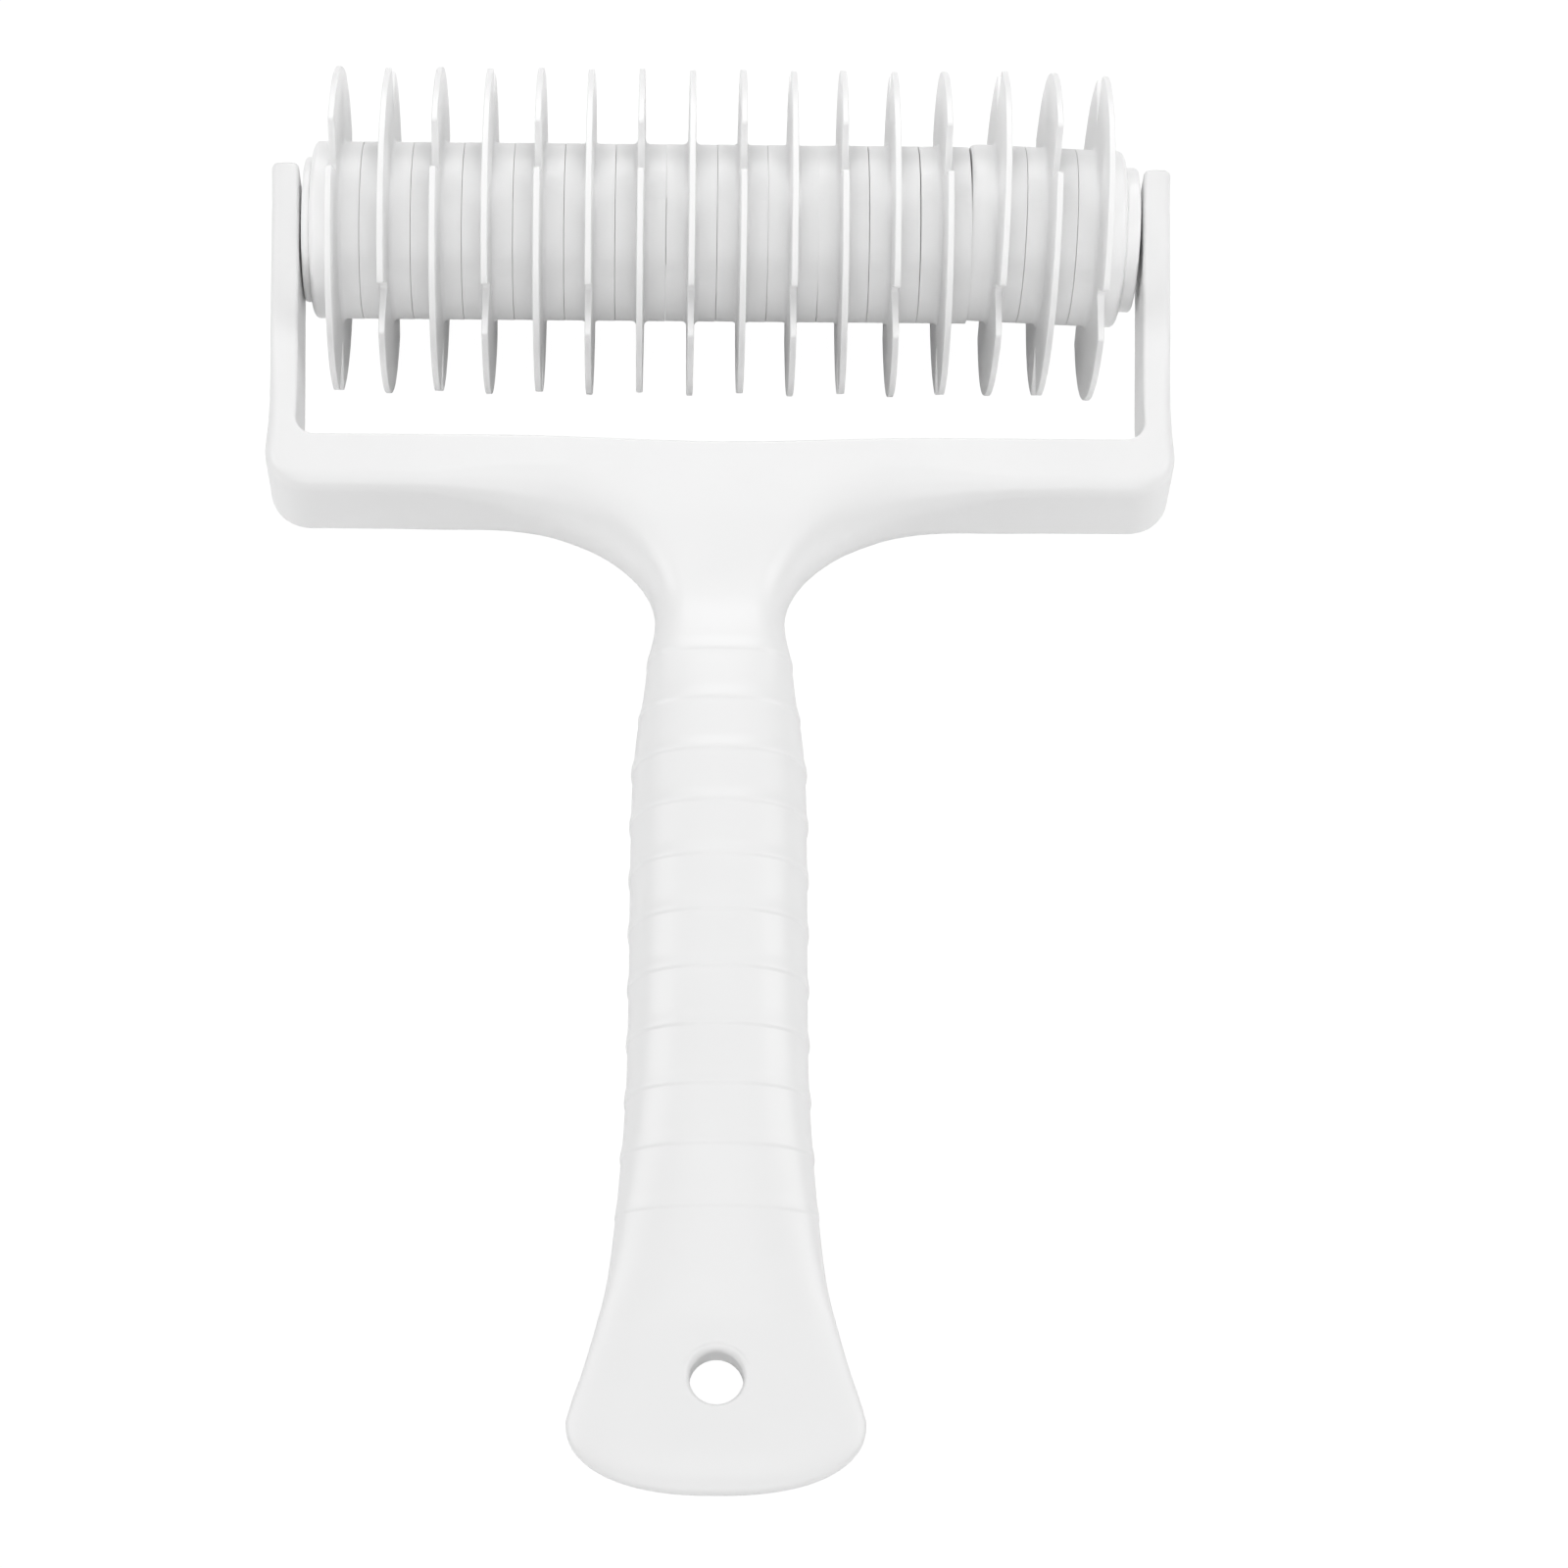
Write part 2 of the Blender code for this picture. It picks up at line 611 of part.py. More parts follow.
def build():
    clear_scene()
    frame_plastic = plastic("frame_plastic", (0.90, 0.90, 0.90), 0.32)
    wheel_plastic = plastic("wheel_plastic", (0.88, 0.88, 0.88), 0.35)
    axle_plastic = plastic("axle_plastic", (0.86, 0.86, 0.86), 0.4)
    collar_plastic = plastic("collar_plastic", (0.88, 0.88, 0.88), 0.35)
    frame = make_frame(frame_plastic)
    roller = []
    for k in range(WHEEL_COUNT):
        center = (k + 0.5) * WHEEL_PITCH - ROLLER_HALF
        turn = -STAGGER_ANGLE if k % 2 else 0.0
        roller.append(make_wheel(f"wheel_{k + 1:02d}", center, turn, wheel_plastic))
    roller.append(make_axle(axle_plastic))
    roller.append(make_collar("left_end_collar", -1, collar_plastic))
    roller.append(make_collar("right_end_collar", 1, collar_plastic))
    rest_on_table(frame, roller)


build()
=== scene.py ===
"""Looks of the lattice dough cutter: satin white mouldings, lit softly on a white floor.

Shapes are drawn in the tool's own frame, in millimetres, as in the part's source: the roller axis is the X
axis at the origin, the roller end is at +Y, the handle runs towards -Y and +Z is the front face. Distances
along the tool are counted from the roller axis towards the handle. Every mesh is then carried into the
frame's place, where the tool lies on its wheels and on the end of its handle.
"""
import json
import math

import bmesh
import bpy
from mathutils import Matrix, Vector


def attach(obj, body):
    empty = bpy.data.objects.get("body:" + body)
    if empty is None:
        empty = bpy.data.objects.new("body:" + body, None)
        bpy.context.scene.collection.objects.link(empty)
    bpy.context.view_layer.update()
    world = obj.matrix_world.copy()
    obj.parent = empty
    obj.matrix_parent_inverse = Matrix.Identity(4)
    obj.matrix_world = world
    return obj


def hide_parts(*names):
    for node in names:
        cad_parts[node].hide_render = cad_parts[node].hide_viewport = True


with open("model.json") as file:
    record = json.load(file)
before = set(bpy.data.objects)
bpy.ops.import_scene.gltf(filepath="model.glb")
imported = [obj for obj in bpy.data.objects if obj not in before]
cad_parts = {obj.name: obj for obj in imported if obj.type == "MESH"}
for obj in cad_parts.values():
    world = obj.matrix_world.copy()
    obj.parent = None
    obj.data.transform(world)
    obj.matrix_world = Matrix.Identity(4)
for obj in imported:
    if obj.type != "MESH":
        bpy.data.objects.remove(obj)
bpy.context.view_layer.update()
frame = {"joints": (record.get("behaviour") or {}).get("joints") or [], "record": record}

MM = 0.001
ROLLER_AXIS = Vector(frame["joints"][0]["pos_m"])
FRONT_NORMAL = Vector(frame["record"]["mounts"][0]["axis"])
TILT = math.atan2(-FRONT_NORMAL.y, FRONT_NORMAL.z)
TOOL = Matrix.Translation(ROLLER_AXIS) @ Matrix.Rotation(TILT, 4, "X") @ Matrix.Scale(MM, 4)

# Wheels
WHEEL_COUNT = 16
WHEEL_PITCH = 6.97
END_GAP = 0.2
SEAM_GAP = 0.05
BLADE_RADIUS = 22.5
HUB_RADIUS = 12.2
BLADE_RIM_THICKNESS = 0.84
BLADE_ROOT_THICKNESS = 1.1
ROOT_FILLET = 0.65
BLADE_ROOT_RADIUS = HUB_RADIUS + ROOT_FILLET
RIM_ROUNDING = 0.16
HUB_ROUNDING = 0.07
NOTCHES = 3
NOTCH_RIM_WIDTH = 7.4
NOTCH_FLOOR_WIDTH = 0.9
NOTCH_FLOOR_RADIUS = 15.6
NOTCH_START_ANGLE = -1.6
STAGGER_ANGLE = 60.0
RIM_CORNER = 0.5
RIM_HINT_ANGLE = 1.0
FLOOR_CORNER = 0.35
HEX_BORE_FLATS = 8.4

# Hub ends, rounded along the axle and across it, and how far the one beside the gap reaches out
END_CHAMFER = (0.85, 1.5)
GAP_SHOULDER = (1.3, 0.6)
GAP_FILL = 0.6

# How the loose wheels sit: those before the gap pushed left and turned a little, the last ones tilted
WHEELS_BEFORE_GAP = 13
PUSHED_LEFT = 0.75
PUSHED_TO_HANDLE = 0.25
SMALL_TURN = 0.6
TURNS_APART = {9: 0.4, 10: -0.1, 11: 0.0, 12: 0.3}
TILTED_SHIFT = 0.35
TILTED_LEAN = 1.6
TILTED_TURN = 1.6

# Axle and end collars
HEX_FLATS = 8.0
HEX_SHOULDER_INSET = 0.3
JOURNAL_RADIUS = 2.5
JOURNAL_CLEARANCE = 0.08
JOURNAL_INSET = 0.4
JOURNAL_ROUNDING = 0.3
COLLAR_RADIUS = 10.0
COLLAR_LENGTH = 1.75
COLLAR_ROUNDING = 0.35
COLLAR_PLAY = 0.06
COLLAR_GAP = 0.02

# Fork, with the arm's lean as (share of the way to the outer corner, offset) pairs
FRAME_DEPTH = 13.4
ARM_PLAY = 0.54
ARM_THICKNESS = 3.75
ARM_BEYOND_AXIS = 6.7
ARM_LEAN = ((1.0, -0.95), (0.9, -1.15), (0.78, -1.2), (0.4, -0.6), (0.0, 0.0))
ARM_TIP_LEAN = 0.3
TIP_CORNER = 1.0
BLADE_TO_CROSSBAR = 14.5
CROSSBAR_HEIGHT = 8.1
WINDOW_DIP = 0.75
WINDOW_DIP_REACH = 30.0
WINDOW_CORNER = 2.7
OUTER_CORNER = 6.0
ARM_EDGE = 0.7
INNER_EDGE = 0.5
CORNER_EDGE = 1.6
CROSSBAR_EDGE = 2.3
FLARE_REACH = 36.0
FLARE_HEIGHT = 17.6
FLARE_POWER = 2.21
FLAT_FLARE = 2.0
NECK_HALF_WIDTH = 8.55

# Round edges of neck and flare, as reach across and down, and the shares of the flare where they change
NECK_EDGE = (4.2, 5.2)
FLARE_EDGE = (6.5, 6.2)
FLARE_WIDENED_BY = 0.25
FLARE_NARROWS_FROM = 0.35
FLARE_NARROWS_OVER = 0.55

# Handle, with its curves as (share of its length or of the ribs, value) pairs
HANDLE_LENGTH = 136.6
GRIP_HALF_WIDTH = 11.4
PADDLE_HALF_WIDTH = 18.25
GRIP_HALF_THICKNESS = 9.5
PADDLE_START_HALF = 2.45
PADDLE_END_HALF = 1.7
WIDTH_CURVE = (
    (0.129, NECK_HALF_WIDTH), (0.149, NECK_HALF_WIDTH + 0.2), (0.171, NECK_HALF_WIDTH + 0.8),
    (0.214, GRIP_HALF_WIDTH - 1.35), (0.256, GRIP_HALF_WIDTH - 0.55), (0.307, GRIP_HALF_WIDTH - 0.1),
    (0.380, GRIP_HALF_WIDTH), (0.541, GRIP_HALF_WIDTH), (0.622, GRIP_HALF_WIDTH + 0.15),
    (0.698, GRIP_HALF_WIDTH + 0.75), (0.774, GRIP_HALF_WIDTH + 1.65), (0.811, GRIP_HALF_WIDTH + 2.35),
    (0.841, PADDLE_HALF_WIDTH - 3.55), (0.885, PADDLE_HALF_WIDTH - 1.95), (0.910, PADDLE_HALF_WIDTH - 0.85),
    (0.932, PADDLE_HALF_WIDTH),
)
NECK_HALF_THICKNESS = 6.2
THICKNESS_CURVE = (
    (0.0, FRAME_DEPTH / 2), (0.03, FRAME_DEPTH / 2 - 0.04), (0.08, NECK_HALF_THICKNESS),
    (0.12, NECK_HALF_THICKNESS + 0.1), (0.160, FRAME_DEPTH / 2 + 0.4),
    (0.226, GRIP_HALF_THICKNESS - 1.3), (0.314, GRIP_HALF_THICKNESS - 0.4), (0.394, GRIP_HALF_THICKNESS),
    (0.476, GRIP_HALF_THICKNESS - 0.2), (0.563, GRIP_HALF_THICKNESS - 0.9),
    (0.622, GRIP_HALF_THICKNESS - 1.65), (0.680, GRIP_HALF_THICKNESS - 2.55),
    (0.738, PADDLE_START_HALF + 2.95), (0.790, PADDLE_START_HALF + 1.35), (0.841, PADDLE_START_HALF),
)
OVAL_BLEND = 14.0
OVAL_SHOULDER = 62.0
GRIP_OVAL_POWER = 2.45
PADDLE_OVAL_POWER = 2.1
RIB_START = 24.7
RIB_PITCH = 7.67
RIB_LAST_BEFORE_END = 34.0
RIB_RISE = 2.0
RIB_FALL = 0.5
RIB_HEIGHT_CURVE = (
    (0.0, 0.1), (0.1, 0.12), (0.2, 0.18), (0.3, 0.15), (0.75, 0.14), (0.9, 0.11), (1.0, 0.07),
)
RIB_SIDE_SHARE = 1.5
PADDLE_LENGTH = 21.7
PADDLE_TIP_DEPTH = 9.2
PADDLE_TIP_POWER = 2.3
PADDLE_END_ROUND = 5.0
HOLE_TO_END = 14.3
HOLE_RADIUS = 3.3
HOLE_LIP = 0.9

# Fineness of the meshes
EDGE_STEPS = 10
FLARE_STEPS = 60
FRONT_STEPS = 16
RING_STEP = 0.7
RIB_RISE_STEP = 0.36
RIB_FALL_STEP = 0.12
CORNER_STEPS = 16
SMALL_CORNER_STEPS = 10
ARM_STEPS = 10
CORNER_EDGE_STEPS = 5
WINDOW_STEPS = 24
TIP_STEPS = 40
LIP_STEPS = 14
ROUND_SIDES = 96
NOTCH_CORNER_STEPS = 5
NOTCH_SIDE_STEPS = 6
RIM_STEPS = 40
RIM_ROUNDING_STEPS = 3
FILLET_STEPS = 4
HUB_END_STEPS = 6
COLLAR_STEPS = 4
EDGE_FLAT = 0.12
LEAST_STEP = 0.5
CUT_MARGIN = 3.0
FLAT_FACE_WEIGHT = 100

# Plastic, with lengths in metres
PLASTIC_IOR = 1.46
MOTTLE_SCALE = 60.0
MOTTLE_DETAIL = 3.0
MOTTLE_RANGE = (0.3, 0.7)
MOTTLE_SHADE = 0.985
GLOSS_SPREAD = 0.04
PEEL_SCALE = 1500.0
PEEL_DETAIL = 2.0
PEEL_STRENGTH = 0.05
PEEL_DEPTH = 0.0001
PLASTICS = {
    "frame_plastic": (0.9, 0.36),
    "wheel_plastic": (0.97, 0.38),
    "collar_plastic": (0.95, 0.38),
    "axle_plastic": (0.82, 0.42),
}

# Studio, in metres
FLOOR_HALF = 6.0
FLOOR_DROP = 0.00005
FLOOR_GREY = 0.95
FLOOR_GLOW = 1.05
FLOOR_GLOW_SHARE = 0.94
WORLD_LIGHT = 0.03
WORLD_BACKGROUND = 1.0

# Lamps: name, place, aim, size and power, in metres and watts
LAMPS = (
    ("handle_light", (0.0, -1.5, 1.3), (0.0, 0.03, 0.0), (2.4, 0.8), 11.9),
    ("low_light", (0.0, -1.7, 0.95), (0.0, 0.03, 0.0), (0.7, 0.5), 3.7),
    ("roller_light", (0.0, 0.49, 0.386), (0.0, 0.03, 0.0), (0.3, 0.3), 1.05),
    ("left_light", (-0.75, 0.1, 0.6), (0.0, 0.0, 0.0), (0.6, 0.6), 3.75),
    ("right_light", (0.75, 0.1, 0.6), (0.0, 0.0, 0.0), (0.6, 0.6), 3.9),
    ("top_light", (0.0, -0.31, 0.94), (0.0, 0.03, 0.0), (0.45, 0.45), 1.5),
)

# Camera: places and lens in millimetres, near limit in metres, roll in degrees
CAMERA_PLACE = (-1.9, -312.3, 486.7)
CAMERA_AIM = (8.46, -6.27, 13.11)
CAMERA_LENS = 99.37
CAMERA_SENSOR = 36.0
CAMERA_NEAR = 0.01
CAMERA_ROLL = 0.36

# Places that follow from the sizes above
ROLLER_HALF = WHEEL_COUNT * WHEEL_PITCH / 2
HUB_HALF = (WHEEL_PITCH - SEAM_GAP) / 2
COLLAR_NEAR = ROLLER_HALF + END_GAP / 2
COLLAR_FAR = COLLAR_NEAR + COLLAR_LENGTH
ARM_OUTER = COLLAR_FAR + ARM_PLAY + ARM_THICKNESS
WINDOW = BLADE_RADIUS + BLADE_TO_CROSSBAR
WALL = WINDOW + CROSSBAR_HEIGHT
CORNER_START = WALL - OUTER_CORNER
NECK = WALL + FLARE_HEIGHT
END = WALL + HANDLE_LENGTH
PADDLE_CUT = END - PADDLE_LENGTH
TIP_START = END - PADDLE_TIP_DEPTH


class Shell:
    """Collects points and faces of one closed mesh, in the tool's frame and in millimetres."""

    def __init__(self):
        self.points = []
        self.faces = []

    def add(self, points):
        """Adds points and returns their numbers."""
        first = len(self.points)
        self.points += points
        return list(range(first, first + len(points)))

    def bridge(self, first, second, closed=False):
        """Joins two rows of point numbers with four-sided faces, round to the start where closed."""
        count = len(first)
        for k in range(count if closed else count - 1):
            n = (k + 1) % count
            self.faces.append((first[k], first[n], second[n], second[k]))

    def make(self, name, place=Matrix.Identity(4)):
        """The mesh object, carried into the frame's place. place acts in the tool's frame."""
        carry = TOOL @ place
        mesh = bpy.data.meshes.new(name)
        mesh.from_pydata([carry @ Vector(p) for p in self.points], [], self.faces)
        work = bmesh.new()
        work.from_mesh(mesh)
        bmesh.ops.recalc_face_normals(work, faces=work.faces)
        work.to_mesh(mesh)
        work.free()
        obj = bpy.data.objects.new(name, mesh)
        bpy.context.scene.collection.objects.link(obj)
        return obj


def smooth(obj, material):
    """Shades the piece smooth, with flat faces kept flat beside their rounded edges."""
    obj.data.polygons.foreach_set("use_smooth", [True] * len(obj.data.polygons))
    modifier = obj.modifiers.new("weighted_normals", "WEIGHTED_NORMAL")
    modifier.weight = FLAT_FACE_WEIGHT
    obj.data.materials.clear()
    obj.data.materials.append(material)


def smooth_value(curve, at):
    """Value at a position of the smooth curve through (position, value) pairs."""
    if at <= curve[0][0]:
        return curve[0][1]
    if at >= curve[-1][0]:
        return curve[-1][1]
    i = max(k for k in range(len(curve) - 1) if curve[k][0] <= at)
    slopes = []
    for k in (i, i + 1):
        before = curve[max(k - 1, 0)]
        after = curve[min(k + 1, len(curve) - 1)]
        slopes.append((after[1] - before[1]) / (after[0] - before[0]))
    (x0, y0), (x1, y1) = curve[i], curve[i + 1]
    span = x1 - x0
    t = (at - x0) / span
    start = (2 * t**3 - 3 * t**2 + 1) * y0 + (t**3 - 2 * t**2 + t) * span * slopes[0]
    end = (3 * t**2 - 2 * t**3) * y1 + (t**3 - t**2) * span * slopes[1]
    return start + end


def ease(t):
    """A share from 0 to 1 that starts and ends gently."""
    t = min(1.0, max(0.0, t))
    return t * t * (3 - 2 * t)


def handle_share(distance):
    """The share of the handle's length that lies before a distance."""
    return (distance - WALL) / HANDLE_LENGTH


def half_width(distance):
    """Half the handle's width: the paddle's end is a blunt curve, the rest follows the curve of widths."""
    if distance <= TIP_START:
        return smooth_value(WIDTH_CURVE, handle_share(distance))
    t = min(1.0, (distance - TIP_START) / PADDLE_TIP_DEPTH)
    return PADDLE_HALF_WIDTH * (1 - t**PADDLE_TIP_POWER) ** (1 / PADDLE_TIP_POWER)


def half_thickness(distance):
    """Half the thickness: the paddle tapers straight to a rounded end, the rest follows the curve."""
    if distance <= PADDLE_CUT:
        return smooth_value(THICKNESS_CURVE, handle_share(distance))
    share = (distance - PADDLE_CUT) / PADDLE_LENGTH
    start = half_thickness(PADDLE_CUT)
    straight = start + share * (PADDLE_END_HALF - start)
    t = (distance - END + PADDLE_END_ROUND) / PADDLE_END_ROUND
    return straight * math.sqrt(max(0.0, 1 - max(0.0, t) ** 2))


def rib_crests():
    """Distances of the raised rings' crests."""
    ribbed = HANDLE_LENGTH - RIB_LAST_BEFORE_END - RIB_START
    first = WALL + RIB_START - RIB_FALL / 2
    return [first + k * RIB_PITCH for k in range(int(ribbed / RIB_PITCH) + 1)]


def rib_lift(distance):
    """Height of the raised rings at a distance: each rises slowly and falls off quickly."""
    crests = rib_crests()
    for k, crest in enumerate(crests):
        height = smooth_value(RIB_HEIGHT_CURVE, k / (len(crests) - 1))
        if crest - RIB_RISE < distance <= crest:
            return height * ease((distance - crest + RIB_RISE) / RIB_RISE)
        if crest < distance < crest + RIB_FALL:
            return height * ease((crest + RIB_FALL - distance) / RIB_FALL)
    return 0.0


def edge_column(x, distance, inward, edge, lift=0.0):
    """One side edge as points from the front face round to the rear face."""
    across, down = edge
    thickness = half_thickness(distance) + lift
    down = min(down, max(0.0, thickness - EDGE_FLAT))
    front = []
    for step in range(EDGE_STEPS + 1):
        turn = math.radians(90.0) * (1 - step / EDGE_STEPS)
        inset = across * (1 - math.cos(turn))
        px = x + inset * inward[0]
        pd = distance + inset * inward[1]
        height = half_thickness(pd) + lift - down * (1 - math.sin(turn))
        front.append((px, -pd, height))
    rear = [(px, py, -height) for px, py, height in reversed(front)]
    return front + rear


def plan_columns(plan, side):
    """Edge columns along an open plan of (x, distance, edge), side +1 or -1 for where the material is."""
    columns = []
    for i, (x, d, edge) in enumerate(plan):
        before = plan[max(i - 1, 0)]
        after = plan[min(i + 1, len(plan) - 1)]
        into = Vector((x - before[0], d - before[1])).normalized()
        out = Vector((after[0] - x, after[1] - d)).normalized()
        along = (into + out).normalized()
        if i in (0, len(plan) - 1):
            along = Vector((0.0, math.copysign(1.0, along.y)))
        columns.append(edge_column(x, d, (-side * along.y, side * along.x), edge))
    return columns


def arc(cx, cd, radius, start, end, steps):
    """Points of an arc as (x, distance), where 90 degrees points towards the handle."""
    points = []
    for k in range(steps + 1):
        angle = math.radians(start + (end - start) * k / steps)
        points.append((cx + radius * math.cos(angle), cd + radius * math.sin(angle)))
    return points


def flare_plan():
    """The hollow curve from the neck's side out to the crossbar's straight wall."""
    plan = []
    for k in range(FLARE_STEPS + 1):
        turn = math.radians(90.0) * k / FLARE_STEPS
        out = 1 - math.cos(turn) ** (2 / FLARE_POWER)
        drop = 1 - math.sin(turn) ** (2 / FLARE_POWER)
        widened = ease(out / FLARE_WIDENED_BY)
        narrowed = ease((out - FLARE_NARROWS_FROM) / FLARE_NARROWS_OVER)
        edge = tuple(
            (neck + (flare - neck) * widened) * (1 - narrowed) + CROSSBAR_EDGE * narrowed
            for neck, flare in zip(NECK_EDGE, FLARE_EDGE)
        )
        plan.append((NECK_HALF_WIDTH + FLARE_REACH * out, WALL + FLARE_HEIGHT * drop, edge))
    return plan


def window_edge(x):
    """The crossbar's inner edge dips a little towards the handle in the middle."""
    if abs(x) >= WINDOW_DIP_REACH:
        return WINDOW
    return WINDOW + WINDOW_DIP * 0.5 * (1 + math.cos(math.pi * x / WINDOW_DIP_REACH))


def arm_lean(distance):
    """How far the arm lies outside of its place at the roller axis."""
    return smooth_value([(CORNER_START * share, value) for share, value in reversed(ARM_LEAN)], distance)


def arm_line():
    """The arm's outer side as (x, distance), from the outer corner to the tip."""
    points = []
    for k in range(1, ARM_STEPS + 1):
        d = CORNER_START * (1 - k / ARM_STEPS)
        points.append((ARM_OUTER + arm_lean(d), d))
    return points


def outer_side():
    """The outer corner and the arm's outer side as (x, distance, edge), with an edge that narrows."""
    side_x = ARM_OUTER + ARM_LEAN[0][1]
    plan = []
    for x, d in arc(side_x - OUTER_CORNER, CORNER_START, OUTER_CORNER, 90.0, 0.0, CORNER_STEPS):
        share = ease((x - side_x + OUTER_CORNER) / OUTER_CORNER)
        edge = CROSSBAR_EDGE + (CORNER_EDGE - CROSSBAR_EDGE) * share
        plan.append((x, d, (edge, edge)))
    for k, (x, d) in enumerate(arm_line()):
        edge = CORNER_EDGE + (ARM_EDGE - CORNER_EDGE) * ease((k + 1) / CORNER_EDGE_STEPS)
        plan.append((x, d, (edge, edge)))
    return plan


def arm_tip():
    """The arm's end with its two small corners, as (x, distance)."""
    tip_d = TIP_CORNER - ARM_BEYOND_AXIS
    tip_x = ARM_OUTER + ARM_TIP_LEAN
    inner_x = tip_x - ARM_THICKNESS + TIP_CORNER
    tip = arc(tip_x - TIP_CORNER, tip_d, TIP_CORNER, 0.0, -90.0, SMALL_CORNER_STEPS)
    return tip + arc(inner_x, tip_d, TIP_CORNER, -90.0, -180.0, SMALL_CORNER_STEPS)


def inner_side():
    """The arm's inner side, the window's corner and half the window's edge, as (x, distance)."""
    corner_start = WINDOW - WINDOW_CORNER
    inner = [(x - ARM_THICKNESS, d) for x, d in arm_line()[::-1] if d < corner_start - LEAST_STEP]
    corner_x = inner[-1][0] - WINDOW_CORNER
    inner += arc(corner_x, corner_start, WINDOW_CORNER, 0.0, 90.0, SMALL_CORNER_STEPS)
    for k in range(WINDOW_STEPS, 0, -1):
        x = min(WINDOW_DIP_REACH, corner_x - TIP_CORNER) * k / WINDOW_STEPS
        inner.append((x, window_edge(x)))
    return inner


def fork_half_plan():
    """Right half of the fork's plan past the flare, round the arm to the window's edge."""
    tip = [(x, d, (ARM_EDGE, ARM_EDGE)) for x, d in arm_tip()]
    inner = [(x, d, (INNER_EDGE, INNER_EDGE)) for x, d in inner_side()]
    return outer_side() + tip + inner


def whole_plan(half, middle):
    """Joins a right half, its mirror image and the middle point, from the left end to the right end."""
    left = [(-x, d, edge) for x, d, edge in half]
    return left + [middle] + half[::-1]


def front_points(left, right):
    """Points across the front between the inner ends of two edge columns, without those ends."""
    (x0, y0, z0), (x1, y1, z1) = right[0], left[0]
    points = []
    for k in range(1, FRONT_STEPS):
        t = k / FRONT_STEPS
        points.append((x0 + (x1 - x0) * t, y0 + (y1 - y0) * t, z0 + (z1 - z0) * t))
    return points


def ring_of(left, right):
    """Left column, rear points, right column and front points of one ring."""
    front = front_points(left, right)
    rear = [(x, y, -z) for x, y, z in reversed(front)]
    return left, rear, right, front


def oval_points(angles, distance, half, height, power):
    """Points of an oval section on the front half, at angles counted from the right side over the front."""
    flat = min(EDGE_FLAT, height / 2)
    points = []
    for angle in angles:
        across = math.cos(math.radians(angle))
        up = math.sin(math.radians(angle))
        x = math.copysign(half * abs(across) ** (2 / power), across)
        points.append((x, -distance, flat + (height - flat) * up ** (2 / power)))
    return points


def blended(first, second, share):
    """Points on the way from the first list to the second."""
    return [tuple(a + (b - a) * share for a, b in zip(p, q)) for p, q in zip(first, second)]


def oval_parts(distance, half, height):
    """Left side, right side and front of the handle's oval section, each as points."""
    to_paddle = ease((distance - PADDLE_CUT + PADDLE_LENGTH) / PADDLE_LENGTH)
    power = GRIP_OVAL_POWER + (PADDLE_OVAL_POWER - GRIP_OVAL_POWER) * to_paddle
    side_angles = [OVAL_SHOULDER * (1 - k / EDGE_STEPS) for k in range(EDGE_STEPS + 1)]
    front_step = (180 - 2 * OVAL_SHOULDER) / FRONT_STEPS
    front_angles = [OVAL_SHOULDER + front_step * k for k in range(1, FRONT_STEPS)]
    right = oval_points(side_angles, distance, half, height, power)
    right += [(x, y, -z) for x, y, z in reversed(right)]
    left = [(-x, y, z) for x, y, z in right]
    return left, right, oval_points(front_angles, distance, half, height, power)


def handle_ring(distance):
    """A ring across the handle: flat with rounded edges at the neck, soon a full oval."""
    rib = rib_lift(distance)
    half = half_width(distance) + RIB_SIDE_SHARE * rib
    left = edge_column(-half, distance, (1.0, 0.0), NECK_EDGE, rib)
    right = edge_column(half, distance, (-1.0, 0.0), NECK_EDGE, rib)
    oval_left, oval_right, oval_front = oval_parts(distance, half, half_thickness(distance) + rib)
    share = ease((distance - NECK) / OVAL_BLEND)
    front = blended(front_points(left, right), oval_front, share)
    rear = [(x, y, -z) for x, y, z in reversed(front)]
    return blended(left, oval_left, share), rear, blended(right, oval_right, share), front


def flare_parts():
    """The flare's plan in two: the steep part, made of rings, and the flat part along the crossbar."""
    plan = flare_plan()
    split = max(k for k, point in enumerate(plan) if point[1] > WALL + FLAT_FLARE) + 1
    return plan[:split], plan[split:]


def flare_rings():
    """Rings from the crossbar's wall down to the neck."""
    steep, flat = flare_parts()
    right = plan_columns(steep + flat[:1], -1)[:-1]
    rings = []
    for column in right[:0:-1]:
        left = [(-x, y, z) for x, y, z in column]
        rings.append(ring_of(left, column))
    return rings


def spread(start, end, step):
    """Places from start up to, but without, end, in even steps of about the given length."""
    count = max(1, round((end - start) / step))
    return [start + (end - start) * k / count for k in range(count)]


def handle_places():
    """Distances of the handle's rings, closer together where a rib rises and falls."""
    places = []
    near = NECK
    for crest in rib_crests():
        places += spread(near, crest - RIB_RISE, RING_STEP)
        places += spread(crest - RIB_RISE, crest, RIB_RISE_STEP)
        places += spread(crest, crest + RIB_FALL, RIB_FALL_STEP)
        near = crest + RIB_FALL
    places += spread(near, TIP_START, RING_STEP)
    for k in range(TIP_STEPS):
        turn = math.radians(90.0) * k / TIP_STEPS
        places.append(TIP_START + PADDLE_TIP_DEPTH * math.sin(turn))
    return places


